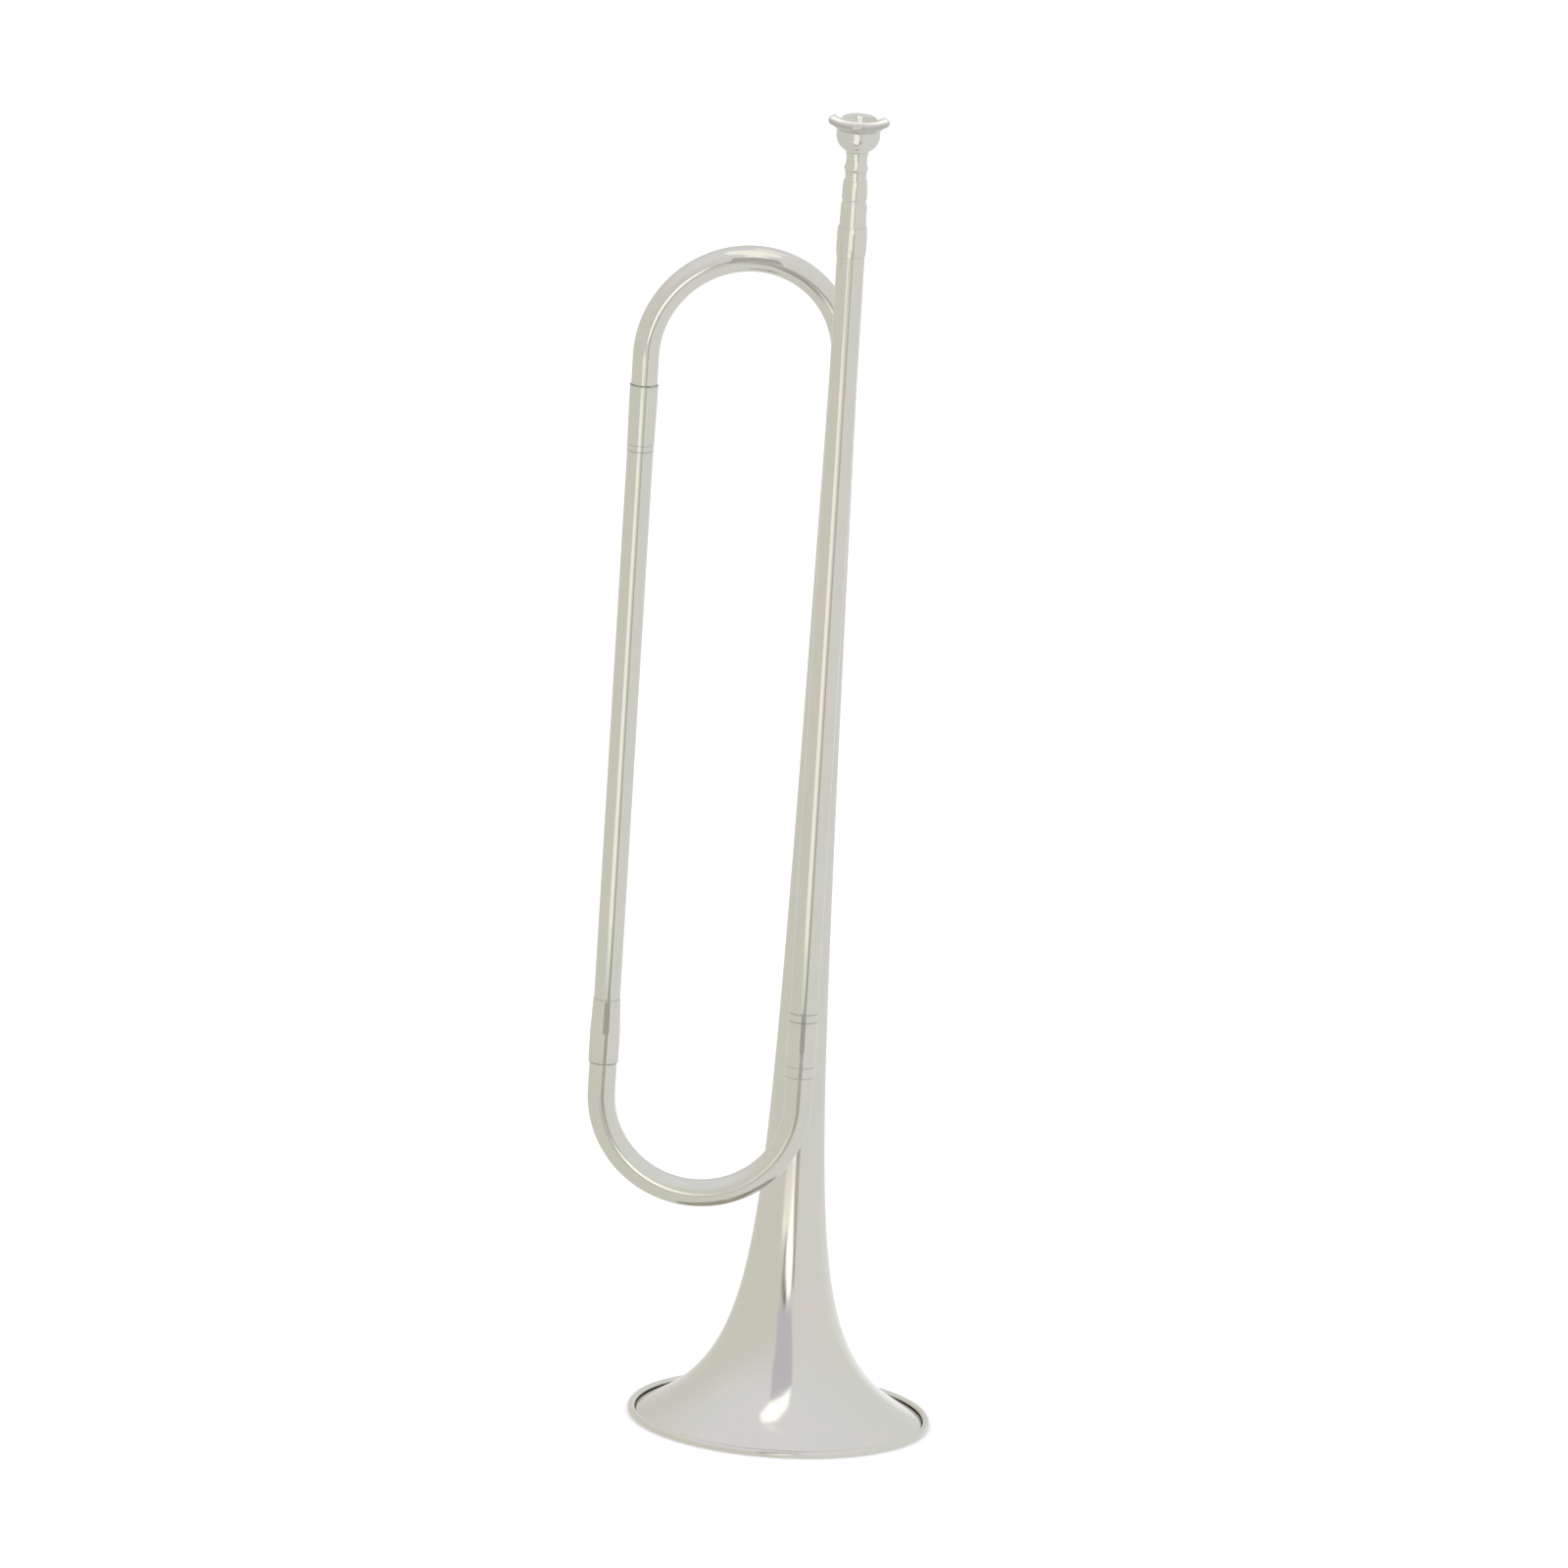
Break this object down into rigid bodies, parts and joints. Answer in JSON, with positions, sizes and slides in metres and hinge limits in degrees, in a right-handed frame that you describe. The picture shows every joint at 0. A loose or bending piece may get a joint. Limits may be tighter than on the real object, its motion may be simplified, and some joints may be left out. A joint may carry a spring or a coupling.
{
  "type": "bugle",
  "caption": "Slender nickel-plated bugle: a long loop of tube with a flared bell, a pull-out mouthpiece and a lower bow that slides for tuning, standing on its bell.",
  "frame": {"origin": "centre of the bell's mouth, in the plane of its rim", "axes": "+Z along the bell's axis towards the mouthpiece, -Y towards the lead pipe, -X towards the side tube"},
  "size_m": [0.1521, 0.127, 0.5655],
  "materials": {
    "bell_plate": "polished bright nickel plate over brass",
    "brace_plate": "polished bright nickel plate over brass",
    "fitting_plate": "polished bright nickel plate over brass",
    "mouthpiece_plate": "polished bright nickel plate over brass",
    "rim_wire": "plain brass wire",
    "slide_plate": "polished bright nickel plate over brass",
    "tube_plate": "polished bright nickel plate over brass"
  },
  "bodies": {
    "horn": {"mouthpiece_receiver": "fitting_plate", "receiver_ferrule": "fitting_plate", "leadpipe": "tube_plate", "leadpipe_slide_sleeve": "fitting_plate", "side_slide_sleeve": "fitting_plate", "side_tube": "tube_plate", "upper_bow_ferrule_left": "fitting_plate", "upper_bow": "tube_plate", "upper_bow_ferrule_right": "fitting_plate", "bell_stem": "bell_plate", "bell_flare": "bell_plate", "bell_rim_wire": "rim_wire", "upper_brace_post": "brace_plate", "upper_brace_leadpipe_foot": "brace_plate", "upper_brace_bell_foot": "brace_plate", "lower_brace_post": "brace_plate", "lower_brace_leadpipe_foot": "brace_plate", "lower_brace_bell_foot": "brace_plate"},
    "mouthpiece": {"mouthpiece": "mouthpiece_plate"},
    "tuning_slide": {"tuning_bow": "slide_plate"}
  },
  "joints": [
    {"name": "mouthpiece_pull", "type": "slide", "parent": "horn", "child": "mouthpiece", "axis": [0, 0, 1], "range_m": [0, 0.03]},
    {"name": "tuning_slide_pull", "type": "slide", "parent": "horn", "child": "tuning_slide", "axis": [0, 0, -1], "range_m": [0, 0.012]}
  ]
}
